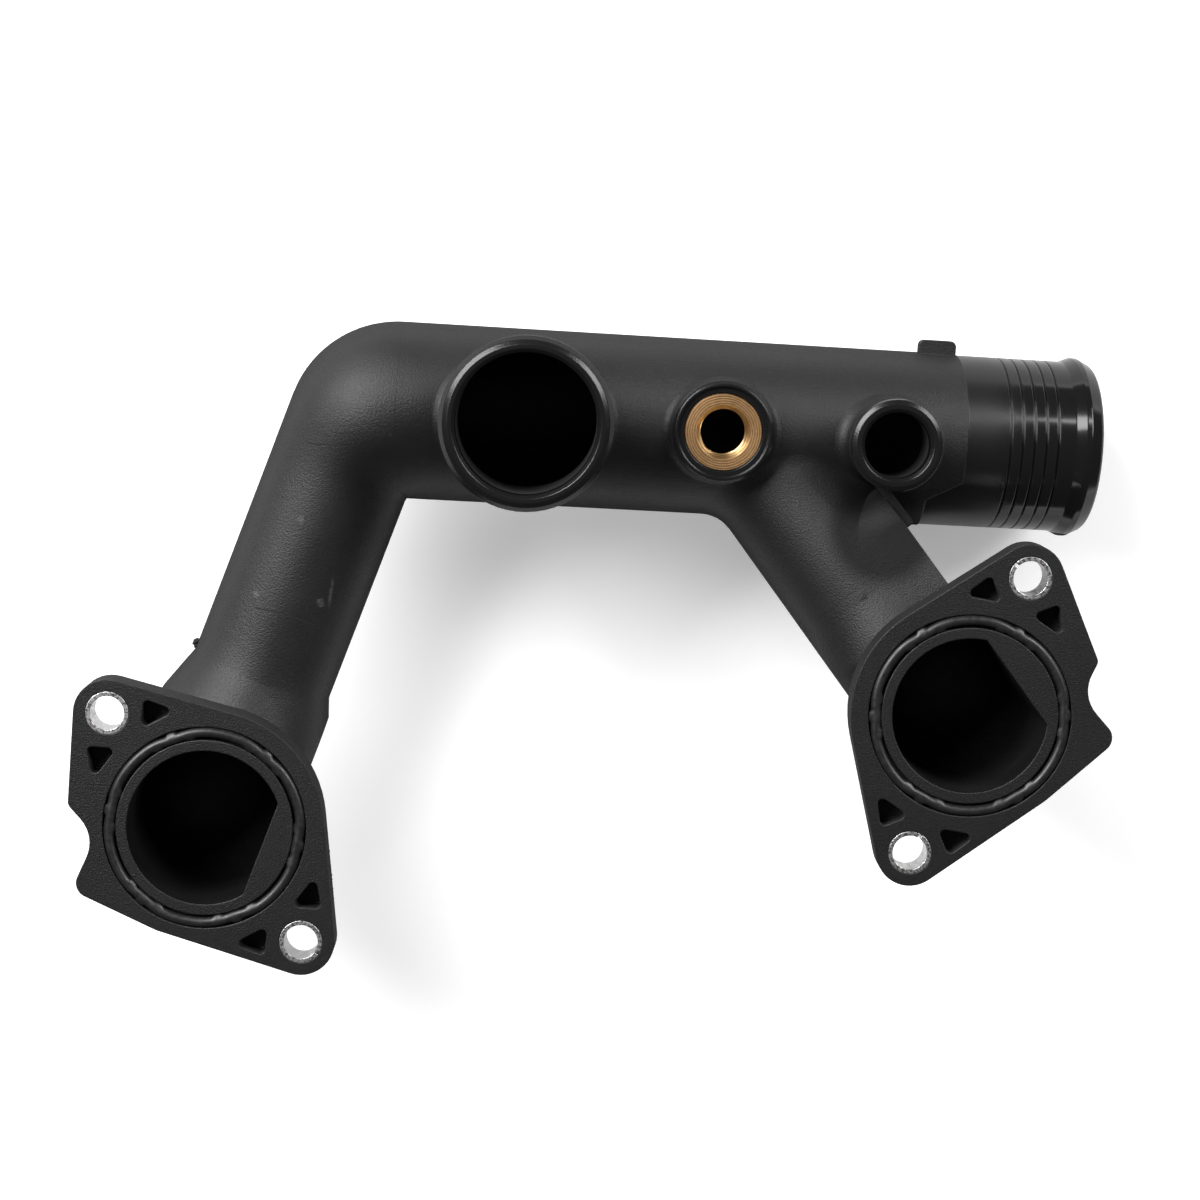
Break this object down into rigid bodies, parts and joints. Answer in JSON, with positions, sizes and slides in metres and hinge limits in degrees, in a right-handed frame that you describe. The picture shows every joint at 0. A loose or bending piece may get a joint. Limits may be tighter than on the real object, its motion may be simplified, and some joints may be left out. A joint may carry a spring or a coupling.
{
  "type": "coolant outlet pipe",
  "caption": "Black moulded coolant pipe: grooved main hose spigot, elbow, legs with bolted sealing flanges, upright hose ports and a threaded brass sensor insert.",
  "frame": {"origin": "centre of the left flange's bore on its sealing face", "axes": "+Z leaves both sealing faces, +X runs along the main pipe to the hose spigot seen in plan, +Y points from the left flange to the main pipe; the pipe lies on its back"},
  "size_m": [0.2334, 0.1509, 0.0752],
  "materials": {
    "black_nylon": "matte, fine moulded grain",
    "turned_brass": "turned, bright",
    "sleeve_steel": "rolled sheet, bright",
    "seal_rubber": "satin"
  },
  "bodies": {
    "root": {"moulded_pipe": "black_nylon", "brass_insert": "turned_brass", "left_sleeve_notch": "sleeve_steel", "left_sleeve_tip": "sleeve_steel", "right_sleeve_notch": "sleeve_steel", "right_sleeve_tip": "sleeve_steel", "left_seal": "seal_rubber", "right_seal": "seal_rubber"}
  },
  "joints": []
}
